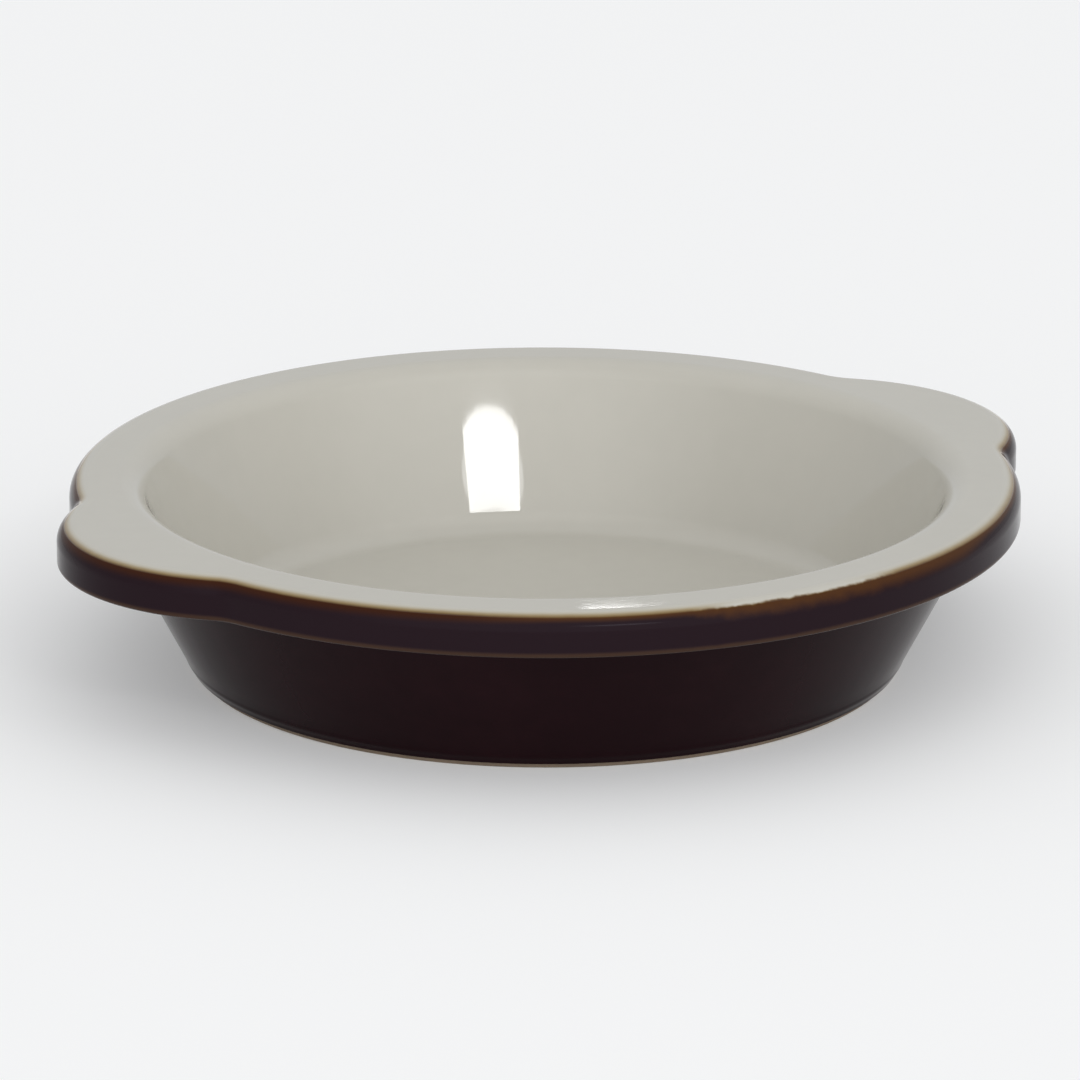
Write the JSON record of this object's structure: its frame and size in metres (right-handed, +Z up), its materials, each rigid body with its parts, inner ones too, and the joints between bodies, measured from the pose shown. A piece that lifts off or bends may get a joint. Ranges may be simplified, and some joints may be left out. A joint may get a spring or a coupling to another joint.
{
  "type": "au gratin dish",
  "caption": "Shallow round stoneware baking dish with a thick rim band, an ear at each side to lift it by, a cream liner glaze and a dark brown outside glaze.",
  "frame": {"origin": "centre of the foot, on the table that the dish stands on", "axes": "+X along the ears, +Z up out of the bowl"},
  "size_m": [0.1816, 0.165, 0.0336],
  "materials": {
    "fired_clay": "bare fired stoneware, dry and slightly sandy",
    "cream_glaze": "smooth glossy cream glaze",
    "amber_glaze": "glossy amber where brown glaze runs thin over cream",
    "brown_glaze": "glossy very dark brown glaze, thinner and redder on sharp edges"
  },
  "bodies": {
    "root": {"stoneware_body": "fired_clay", "liner_glaze": "cream_glaze", "rim_line_glaze": "amber_glaze", "outer_glaze": "brown_glaze", "base_glaze": "brown_glaze"}
  },
  "joints": []
}
